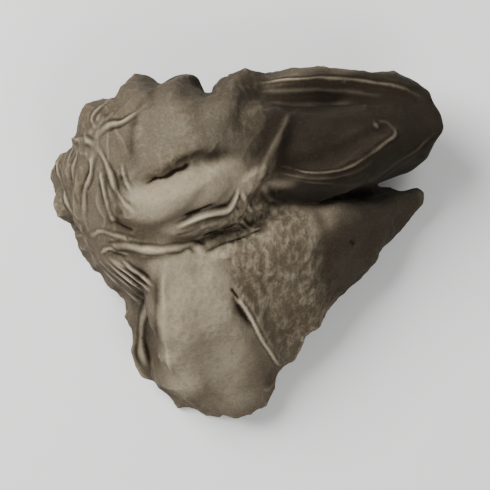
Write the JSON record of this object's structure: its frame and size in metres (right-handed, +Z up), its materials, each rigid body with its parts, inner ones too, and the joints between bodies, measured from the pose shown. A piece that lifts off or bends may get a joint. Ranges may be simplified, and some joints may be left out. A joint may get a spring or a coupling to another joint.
{
  "type": "wood ear mushroom",
  "caption": "Dried wood ear fungus: one thin leathery sheet crumpled into a hollow cap, with a smooth crown, an ear-shaped lobe and a folded apron, lying on its wavy rim.",
  "frame": {"origin": "on the surface that the mushroom rests on, under the middle of its bounding box", "axes": "+X along the longest side, from the gathered foot side to the open tips of the lobe and the apron; +Y towards the crown's outer wall; +Z up, out of the felted face"},
  "size_m": [0.0233, 0.0216, 0.0108],
  "materials": {
    "dried_flesh": "matt, velvety taupe-grey felt on the outer side, smooth dark brown on the inner side"
  },
  "bodies": {
    "root": {"wood_ear": "dried_flesh"}
  },
  "joints": []
}
